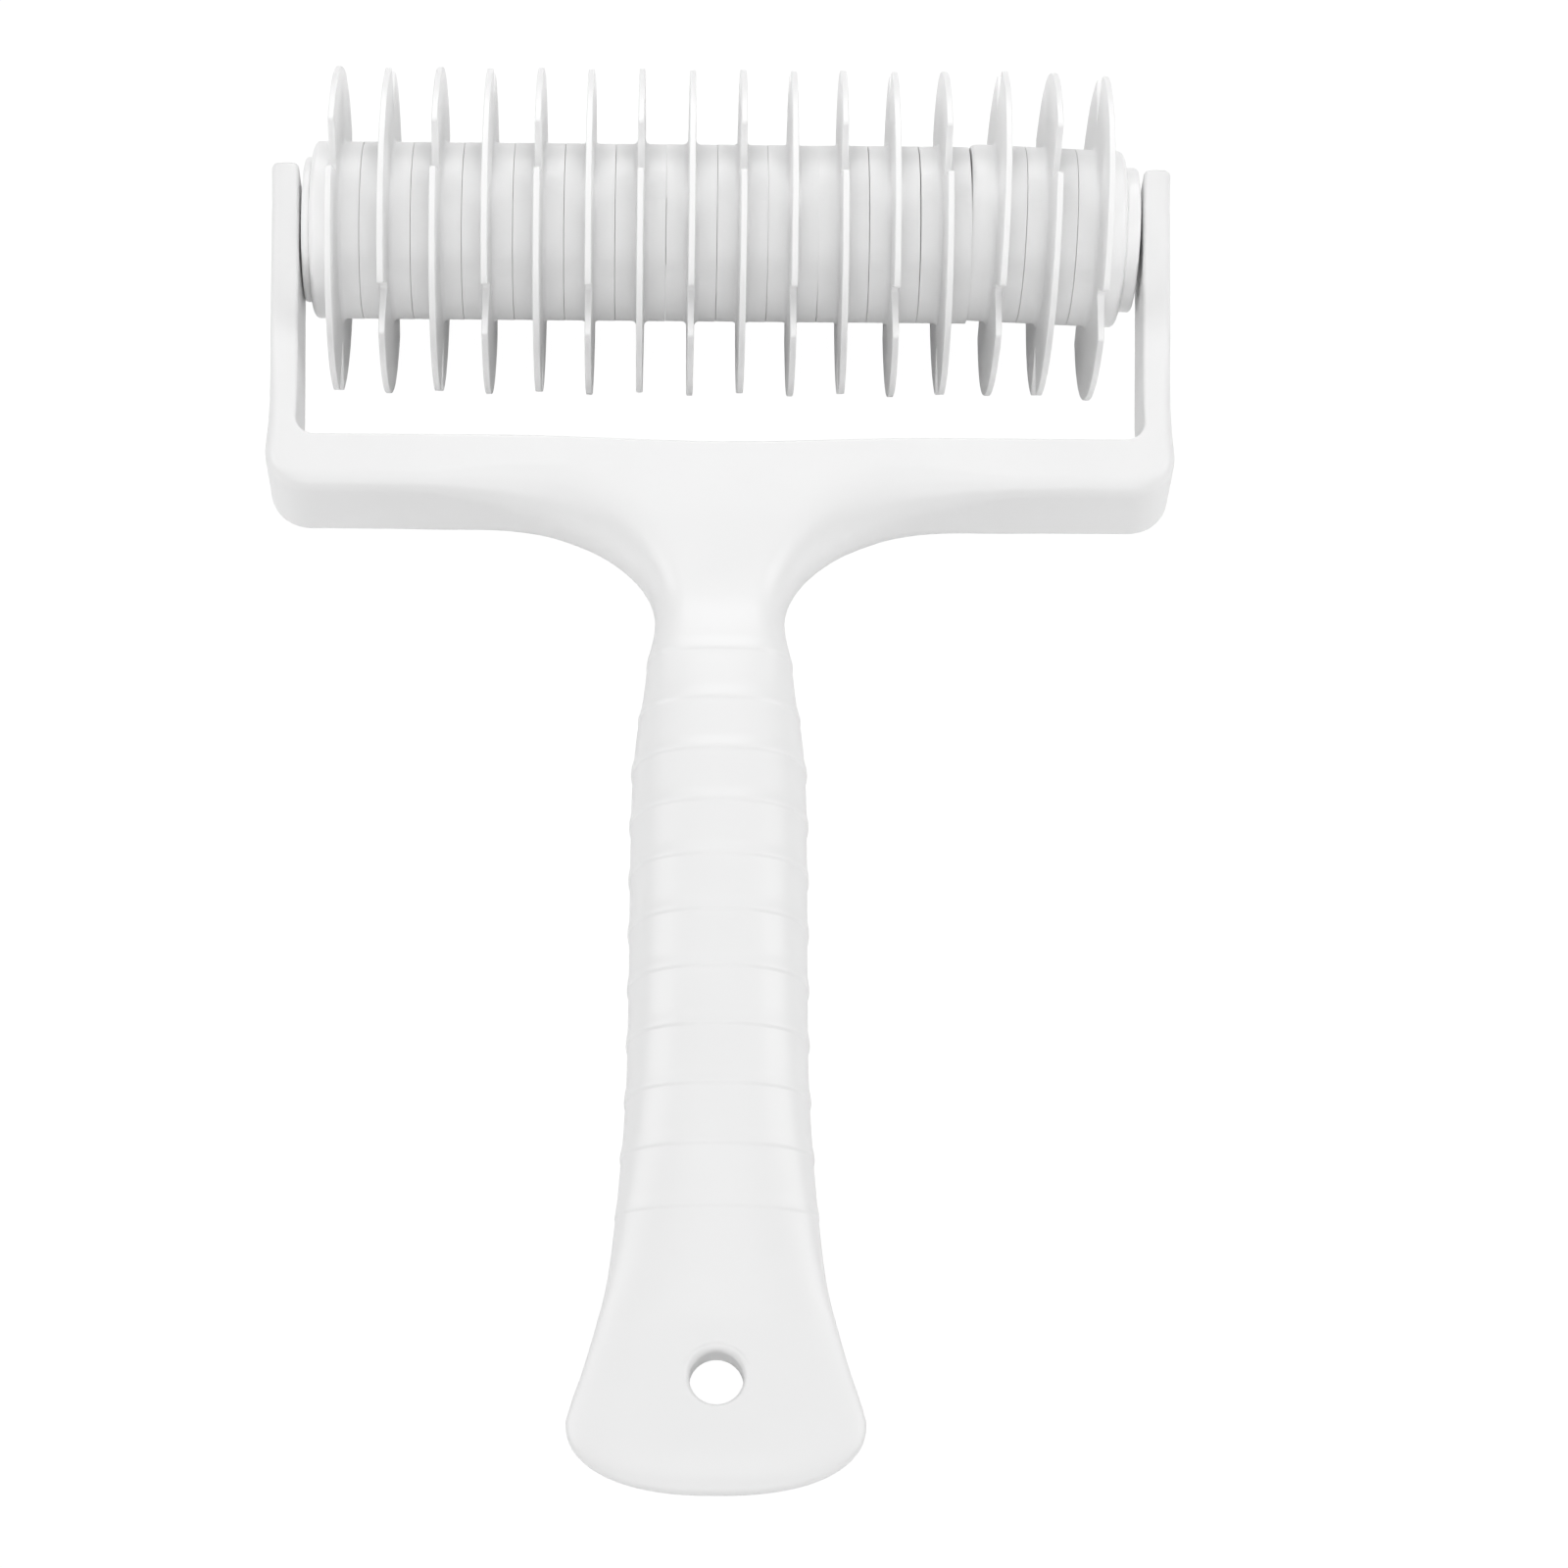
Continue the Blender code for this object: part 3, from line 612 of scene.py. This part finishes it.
def frame_shell():
    """The frame and handle as one skin: rings for flare and handle, and the fork that closes their end."""
    shell = Shell()
    shapes = flare_rings() + [handle_ring(d) for d in handle_places()]
    rings = [[shell.add(points) for points in shape] for shape in shapes]
    loops = [left + rear + right[::-1] + front for left, rear, right, front in rings]
    for first, second in zip(loops, loops[1:]):
        shell.bridge(first, second, closed=True)
    steep, flat = flare_parts()
    half = steep[-1:] + flat + fork_half_plan()
    fork = whole_plan(half, (0.0, window_edge(0.0), (INNER_EDGE, INNER_EDGE)))
    left, rear, right, front = rings[0]
    columns = [left] + [shell.add(c) for c in plan_columns(fork, 1)[1:-1]] + [right]
    for first, second in zip(columns, columns[1:]):
        shell.bridge(first, second)
    shell.faces.append([column[0] for column in columns] + front)
    shell.faces.append([column[-1] for column in columns] + rear[::-1])
    shell.faces.append(loops[-1])
    return shell


def turned(profile, axis="X", center=(0.0, 0.0, 0.0)):
    """A closed turned shape from (offset along the axis, radius) pairs."""
    shell = Shell()
    loops = []
    for offset, radius in profile:
        points = []
        for k in range(ROUND_SIDES):
            angle = 2 * math.pi * (k + 0.5) / ROUND_SIDES
            a = radius * math.cos(angle)
            b = radius * math.sin(angle)
            local = (offset, a, b) if axis == "X" else (a, b, offset)
            points.append(tuple(c + v for c, v in zip(center, local)))
        loops.append(shell.add(points))
    for first, second in zip(loops, loops[1:]):
        shell.bridge(first, second, closed=True)
    shell.faces += [loops[0], loops[-1]]
    return shell


def cut_away(obj, cutters):
    """Cuts the shapes from the piece for good and removes them."""
    for cutter in cutters:
        modifier = obj.modifiers.new(cutter.name, "BOOLEAN")
        modifier.operation = "DIFFERENCE"
        modifier.solver = "EXACT"
        modifier.object = cutter
    graph = bpy.context.evaluated_depsgraph_get()
    mesh = bpy.data.meshes.new_from_object(obj.evaluated_get(graph))
    obj.modifiers.clear()
    obj.data = mesh
    for cutter in cutters:
        bpy.data.objects.remove(cutter)


def hole_cutter():
    """The hanging hole with its rounded lips."""
    distance = END - HOLE_TO_END
    surface = half_thickness(distance)
    upper = []
    for k in range(LIP_STEPS + 1):
        turn = math.radians(90.0) * k / LIP_STEPS
        height = surface - HOLE_LIP * (1 - math.sin(turn))
        upper.append((height, HOLE_RADIUS + HOLE_LIP * (1 - math.cos(turn))))
    upper.append((surface + CUT_MARGIN, HOLE_RADIUS + HOLE_LIP + CUT_MARGIN))
    hole = [(-height, radius) for height, radius in reversed(upper)] + upper
    return turned(hole, axis="Z", center=(0.0, -distance, 0.0)).make("hole_cutter")


def bore_cutter():
    """The bores in both arms that the journals turn in."""
    bore = JOURNAL_RADIUS + JOURNAL_CLEARANCE
    reach = ARM_OUTER + CUT_MARGIN
    return turned(((-reach, bore), (reach, bore))).make("bore_cutter")


def make_frame(material):
    """The moulding of fork, flare, grip and paddle."""
    obj = frame_shell().make("frame_moulding")
    cut_away(obj, [hole_cutter(), bore_cutter()])
    smooth(obj, material)
    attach(obj, "frame")
    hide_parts("frame_handle")


def polar(radius, angle):
    """A point round the roller axis, with the angle counted from the front face towards the roller end."""
    turn = math.radians(angle)
    return Vector((radius * math.sin(turn), radius * math.cos(turn)))


def rounded_corner(before, corner, after, reach):
    """Points of a corner rounded over, reaching the given length along both sides."""
    start = corner + (before - corner).normalized() * reach
    end = corner + (after - corner).normalized() * reach
    points = []
    for k in range(NOTCH_CORNER_STEPS + 1):
        t = k / NOTCH_CORNER_STEPS
        points.append(start * (1 - t) ** 2 + corner * 2 * t * (1 - t) + end * t * t)
    return points


def notch_outline(middle, rim_half):
    """Points of the notch at an angle, from rim to floor to rim, with rounded corners."""
    floor_half = math.degrees(math.asin(NOTCH_FLOOR_WIDTH / 2 / NOTCH_FLOOR_RADIUS))
    rim_a = polar(BLADE_RADIUS, middle - rim_half)
    rim_b = polar(BLADE_RADIUS, middle + rim_half)
    floor_a = polar(NOTCH_FLOOR_RADIUS, middle - floor_half)
    floor_b = polar(NOTCH_FLOOR_RADIUS, middle + floor_half)
    before = polar(BLADE_RADIUS, middle - rim_half - RIM_HINT_ANGLE)
    after = polar(BLADE_RADIUS, middle + rim_half + RIM_HINT_ANGLE)
    corners = [
        rounded_corner(before, rim_a, floor_a, RIM_CORNER),
        rounded_corner(rim_a, floor_a, floor_b, FLOOR_CORNER),
        rounded_corner(floor_a, floor_b, rim_b, FLOOR_CORNER),
        rounded_corner(floor_b, rim_b, after, RIM_CORNER),
    ]
    shares = [s / NOTCH_SIDE_STEPS for s in range(1, NOTCH_SIDE_STEPS)]
    points = []
    for down, up in (corners[:2], corners[2:]):
        points += down + [down[-1].lerp(up[0], share) for share in shares] + up
    return points


def blade_outline():
    """The blade's outline as points in the wheel's plane: round, with notches whose corners are rounded."""
    rim_half = math.degrees(math.asin(NOTCH_RIM_WIDTH / 2 / BLADE_RADIUS))
    sector = 360.0 / NOTCHES
    covered = sector - 2 * rim_half
    trim = math.degrees(RIM_CORNER / BLADE_RADIUS)
    outline = []
    for n in range(NOTCHES):
        middle = NOTCH_START_ANGLE + n * sector
        outline += notch_outline(middle, rim_half)
        for k in range(1, RIM_STEPS):
            angle = middle + rim_half + trim + (covered - 2 * trim) * k / RIM_STEPS
            outline.append(polar(BLADE_RADIUS, angle))
    return outline


def hexagon_radius(flats, angle):
    """How far a hexagon's side lies from the axis in a direction. A corner points along the start angle."""
    within = (angle - NOTCH_START_ANGLE) % 60.0 - 30.0
    return flats / 2 / math.cos(math.radians(within))


def blade_half(radius):
    """Half the blade's thickness, which tapers from its root to its rim."""
    share = (radius - BLADE_ROOT_RADIUS) / (BLADE_RADIUS - BLADE_ROOT_RADIUS)
    root = BLADE_ROOT_THICKNESS / 2
    rim = BLADE_RIM_THICKNESS / 2
    return root + (rim - root) * share


def blade_column(outline, i):
    """Points down one side of the blade from the rim's middle to the root, as (x, a, b)."""
    point = outline[i]
    before = outline[i - 1]
    after = outline[(i + 1) % len(outline)]
    along = ((point - before).normalized() + (after - point).normalized()).normalized()
    inward = Vector((along.y, -along.x))
    column = []
    for k in range(RIM_ROUNDING_STEPS + 1):
        turn = math.radians(90.0) * k / RIM_ROUNDING_STEPS
        place = point + inward * RIM_ROUNDING * (1 - math.cos(turn))
        depth = blade_half(place.length) - RIM_ROUNDING * (1 - math.sin(turn))
        column.append((depth, place.x, place.y))
    face = point + inward * RIM_ROUNDING
    root = point.normalized() * BLADE_ROOT_RADIUS
    for share in (0.5, 1.0):
        place = face.lerp(root, share)
        column.append((blade_half(place.length), place.x, place.y))
    return column


def hub_column(point, corner, hub_half):
    """Points below an outline's point, from the blade's root along the hub to the bore, as (x, a, b). corner
    is how far the hub's end is rounded along the axle and across it."""
    direction = point.normalized()
    column = []
    for k in range(1, FILLET_STEPS + 1):
        turn = math.radians(90.0) * k / FILLET_STEPS
        x = BLADE_ROOT_THICKNESS / 2 + ROOT_FILLET * (1 - math.cos(turn))
        radius = BLADE_ROOT_RADIUS - ROOT_FILLET * math.sin(turn)
        column.append((x, *(direction * radius)))
    for k in range(HUB_END_STEPS + 1):
        turn = math.radians(90.0) * k / HUB_END_STEPS
        x = hub_half - corner[0] * (1 - math.sin(turn))
        radius = HUB_RADIUS - corner[1] * (1 - math.cos(turn))
        column.append((x, *(direction * radius)))
    angle = math.degrees(math.atan2(point.x, point.y))
    column.append((hub_half, *(direction * hexagon_radius(HEX_BORE_FLATS, angle))))
    return column


def wheel_half(outline, i, corner, hub_half):
    """One column of the wheel on one side, from the rim's middle to the bore."""
    return blade_column(outline, i) + hub_column(outline[i], corner, hub_half)


def wheel_shell(left_corner, right_corner, left_fill=0.0):
    """A hub with a thin notched blade at the middle of its length, round the tool's own axis."""
    shell = Shell()
    outline = blade_outline()
    loops = []
    for i in range(len(outline)):
        right = wheel_half(outline, i, right_corner, HUB_HALF)
        left = [(-x, a, b) for x, a, b in wheel_half(outline, i, left_corner, HUB_HALF + left_fill)]
        loops.append(shell.add(right + left[::-1]))
    for i, loop in enumerate(loops):
        shell.bridge(loop, loops[(i + 1) % len(loops)], closed=True)
    return shell


def wheel_place(k):
    """Where wheel k sits: a little loose on the axle, and the last few tilted together."""
    center = (k + 0.5) * WHEEL_PITCH - ROLLER_HALF
    if k < WHEELS_BEFORE_GAP:
        shift, lean, yaw, pivot = PUSHED_LEFT, 0.0, TURNS_APART.get(k, SMALL_TURN), center
    else:
        last_middle = (WHEELS_BEFORE_GAP + WHEEL_COUNT) / 2 * WHEEL_PITCH - ROLLER_HALF
        shift, lean, yaw, pivot = TILTED_SHIFT, TILTED_LEAN, TILTED_TURN, last_middle
    tilt = Matrix.Rotation(math.radians(-lean), 4, "Z") @ Matrix.Rotation(math.radians(yaw), 4, "Y")
    move = Matrix.Translation((pivot - shift, -PUSHED_TO_HANDLE, 0.0))
    return move @ tilt @ Matrix.Translation((center - pivot, 0.0, 0.0))


def make_wheels(material):
    """The sixteen wheels, every second one turned by the stagger."""
    seam = (HUB_ROUNDING, HUB_ROUNDING)
    plain = wheel_shell(seam, seam)
    first = wheel_shell(END_CHAMFER, seam)
    last = wheel_shell(seam, END_CHAMFER)
    beside_gap = wheel_shell(GAP_SHOULDER, seam, GAP_FILL)
    shells = {0: first, WHEELS_BEFORE_GAP: beside_gap, WHEEL_COUNT - 1: last}
    for k in range(WHEEL_COUNT):
        shell = shells.get(k, plain)
        turn = math.radians(STAGGER_ANGLE if k % 2 else 0.0)
        place = wheel_place(k) @ Matrix.Rotation(turn, 4, "X")
        node = f"wheel_{k + 1:02d}"
        obj = shell.make(f"cutting_{node}", place)
        smooth(obj, material)
        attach(obj, "roller")
        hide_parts(node)


def sleeve_shell(outside):
    """A sleeve with a hexagonal bore, from (offset, radius) pairs of its outside."""
    shell = Shell()
    loops = []
    for k in range(ROUND_SIDES):
        angle = 360.0 * k / ROUND_SIDES
        direction = polar(1.0, angle)
        inner = direction * hexagon_radius(HEX_BORE_FLATS, angle)
        points = [(x, *(direction * radius)) for x, radius in outside]
        loops.append(shell.add([(outside[0][0], *inner)] + points + [(outside[-1][0], *inner)]))
    for k, loop in enumerate(loops):
        shell.bridge(loop, loops[(k + 1) % len(loops)], closed=True)
    return shell


def collar_edge():
    """The rounded edge of a collar's end, as (offset from the end, radius) pairs."""
    edge = []
    for k in range(COLLAR_STEPS + 1):
        turn = math.radians(90.0) * k / COLLAR_STEPS
        radius = COLLAR_RADIUS - COLLAR_ROUNDING * (1 - math.cos(turn))
        edge.append((COLLAR_ROUNDING * (1 - math.sin(turn)), radius))
    return edge


def collar_far(side, place):
    """How far a collar reaches from its wheel's middle: close to the arm, and clear of it when it turns."""
    axle = Vector((1.0, 0.0, 0.0))
    normal = (place.to_3x3() @ axle).normalized()
    swing = COLLAR_RADIUS * math.sin(normal.angle(axle))
    arm = COLLAR_FAR + ARM_PLAY + arm_lean(COLLAR_RADIUS)
    return arm - side * place.translation.x - swing - COLLAR_PLAY


def make_collars(material):
    """The plain sleeves between the outer hubs and the arms, each sitting as its wheel does."""
    edge = collar_edge()
    near = HUB_HALF + COLLAR_GAP
    for side, k, name in ((-1, 0, "left_end_collar"), (1, WHEEL_COUNT - 1, "right_end_collar")):
        place = wheel_place(k)
        far = collar_far(side, place)
        outside = [(near + x, r) for x, r in edge[::-1]] + [(far - x, r) for x, r in edge]
        placed = [(side * x, radius) for x, radius in outside]
        obj = sleeve_shell(placed).make(f"{name}_sleeve", place)
        smooth(obj, material)
        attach(obj, "roller")
        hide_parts(name)


def make_axle(material):
    """The hexagonal rod with a round journal at each end."""
    shoulder = COLLAR_FAR - HEX_SHOULDER_INSET
    end = ARM_OUTER - JOURNAL_INSET
    half = [(shoulder, None), (shoulder, JOURNAL_RADIUS)]
    half += [(end - JOURNAL_ROUNDING, JOURNAL_RADIUS), (end, JOURNAL_RADIUS - JOURNAL_ROUNDING)]
    stations = [(-x, radius) for x, radius in half[::-1]] + half
    shell = Shell()
    loops = []
    for x, radius in stations:
        points = []
        for k in range(ROUND_SIDES):
            angle = NOTCH_START_ANGLE + 360.0 * k / ROUND_SIDES
            size = hexagon_radius(HEX_FLATS, angle) if radius is None else radius
            points.append((x, *polar(size, angle)))
        loops.append(shell.add(points))
    for first, second in zip(loops, loops[1:]):
        shell.bridge(first, second, closed=True)
    shell.faces += [loops[0], loops[-1]]
    obj = shell.make("axle_rod")
    obj.data.materials.append(material)
    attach(obj, "roller")
    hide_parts("axle")


def grey(level):
    """A neutral colour of the given level."""
    return (level, level, level, 1.0)


def noise(nodes, scale, detail):
    """A noise texture of the given scale and detail."""
    texture = nodes.new("ShaderNodeTexNoise")
    texture.inputs["Scale"].default_value = scale
    texture.inputs["Detail"].default_value = detail
    return texture


def white_plastic(name):
    """Satin white moulded plastic: faint mottling in its colour and gloss, and a fine orange peel."""
    color, roughness = PLASTICS[name]
    material = bpy.data.materials.new(name)
    material.use_nodes = True
    nodes = material.node_tree.nodes
    links = material.node_tree.links
    shader = nodes["Principled BSDF"]
    shader.inputs["IOR"].default_value = PLASTIC_IOR
    place = nodes.new("ShaderNodeTexCoord")
    mottle = noise(nodes, MOTTLE_SCALE, MOTTLE_DETAIL)
    links.new(place.outputs["Object"], mottle.inputs["Vector"])
    tint = nodes.new("ShaderNodeValToRGB")
    levels = (color * MOTTLE_SHADE, color)
    for element, position, level in zip(tint.color_ramp.elements, MOTTLE_RANGE, levels):
        element.position = position
        element.color = grey(level)
    links.new(mottle.outputs["Fac"], tint.inputs["Fac"])
    links.new(tint.outputs["Color"], shader.inputs["Base Color"])
    gloss = nodes.new("ShaderNodeMapRange")
    gloss.inputs["To Min"].default_value = roughness - GLOSS_SPREAD
    gloss.inputs["To Max"].default_value = roughness + GLOSS_SPREAD
    links.new(mottle.outputs["Fac"], gloss.inputs["Value"])
    links.new(gloss.outputs["Result"], shader.inputs["Roughness"])
    peel = noise(nodes, PEEL_SCALE, PEEL_DETAIL)
    links.new(place.outputs["Object"], peel.inputs["Vector"])
    bump = nodes.new("ShaderNodeBump")
    bump.inputs["Strength"].default_value = PEEL_STRENGTH
    bump.inputs["Distance"].default_value = PEEL_DEPTH
    links.new(peel.outputs["Fac"], bump.inputs["Height"])
    links.new(bump.outputs["Normal"], shader.inputs["Normal"])
    return material


def floor_white():
    """Matt white that glows a little to the camera alone, so that it shows as white."""
    material = bpy.data.materials.new("floor_white")
    material.use_nodes = True
    nodes = material.node_tree.nodes
    links = material.node_tree.links
    nodes.remove(nodes["Principled BSDF"])
    matt = nodes.new("ShaderNodeBsdfDiffuse")
    matt.inputs["Color"].default_value = grey(FLOOR_GREY)
    glow = nodes.new("ShaderNodeEmission")
    glow.inputs["Strength"].default_value = FLOOR_GLOW
    path = nodes.new("ShaderNodeLightPath")
    amount = nodes.new("ShaderNodeMath")
    amount.operation = "MULTIPLY"
    amount.inputs[1].default_value = FLOOR_GLOW_SHARE
    links.new(path.outputs["Is Camera Ray"], amount.inputs[0])
    mix = nodes.new("ShaderNodeMixShader")
    links.new(amount.outputs["Value"], mix.inputs["Fac"])
    links.new(matt.outputs["BSDF"], mix.inputs[1])
    links.new(glow.outputs["Emission"], mix.inputs[2])
    links.new(mix.outputs["Shader"], nodes["Material Output"].inputs["Surface"])
    return material


def make_floor():
    """A white floor that keeps the object's shadow."""
    mesh = bpy.data.meshes.new("studio_floor")
    corners = [(-FLOOR_HALF, -FLOOR_HALF), (FLOOR_HALF, -FLOOR_HALF)]
    corners += [(FLOOR_HALF, FLOOR_HALF), (-FLOOR_HALF, FLOOR_HALF)]
    mesh.from_pydata([(x, y, -FLOOR_DROP) for x, y in corners], [], [(0, 1, 2, 3)])
    floor = bpy.data.objects.new("studio_floor", mesh)
    bpy.context.scene.collection.objects.link(floor)
    mesh.materials.append(floor_white())


def make_world():
    """A plain white surround that lights the object faintly and shows as white to the camera."""
    world = bpy.data.worlds.new("studio")
    bpy.context.scene.world = world
    world.use_nodes = True
    nodes = world.node_tree.nodes
    links = world.node_tree.links
    dim = nodes["Background"]
    bright = nodes.new("ShaderNodeBackground")
    for shader, strength in ((dim, WORLD_LIGHT), (bright, WORLD_BACKGROUND)):
        shader.inputs["Color"].default_value = grey(1.0)
        shader.inputs["Strength"].default_value = strength
    path = nodes.new("ShaderNodeLightPath")
    mix = nodes.new("ShaderNodeMixShader")
    links.new(path.outputs["Is Camera Ray"], mix.inputs["Fac"])
    links.new(dim.outputs["Background"], mix.inputs[1])
    links.new(bright.outputs["Background"], mix.inputs[2])
    links.new(mix.outputs["Shader"], nodes["World Output"].inputs["Surface"])


def make_lamp(name, place, aim, size, power):
    """A rectangular area lamp turned towards its aim."""
    data = bpy.data.lights.new(name, "AREA")
    data.shape = "RECTANGLE"
    data.size, data.size_y = size
    data.energy = power
    lamp = bpy.data.objects.new(name, data)
    bpy.context.scene.collection.objects.link(lamp)
    lamp.location = place
    lamp.rotation_euler = (Vector(aim) - Vector(place)).to_track_quat("-Z", "Y").to_euler()


def make_camera():
    """The photograph's view: from above the handle's end, with the roller at the top."""
    place = Vector(CAMERA_PLACE) * MM
    aim = Vector(CAMERA_AIM) * MM
    data = bpy.data.cameras.new("camera")
    data.sensor_width = CAMERA_SENSOR
    data.lens = CAMERA_LENS
    data.clip_start = CAMERA_NEAR
    camera = bpy.data.objects.new("camera", data)
    bpy.context.scene.collection.objects.link(camera)
    back = (place - aim).normalized()
    across = Vector((1.0, 0.0, 0.0))
    across = (across - back * across.dot(back)).normalized()
    look = Matrix((across, back.cross(across), back)).transposed().to_4x4()
    roll = Matrix.Rotation(math.radians(CAMERA_ROLL), 4, "Z")
    camera.matrix_world = Matrix.Translation(place) @ look @ roll
    bpy.context.scene.camera = camera


def build():
    """The whole scene."""
    make_frame(white_plastic("frame_plastic"))
    make_wheels(white_plastic("wheel_plastic"))
    make_collars(white_plastic("collar_plastic"))
    make_axle(white_plastic("axle_plastic"))
    make_floor()
    make_world()
    for lamp in LAMPS:
        make_lamp(*lamp)
    make_camera()
    bpy.context.scene.view_settings.view_transform = "Standard"


build()
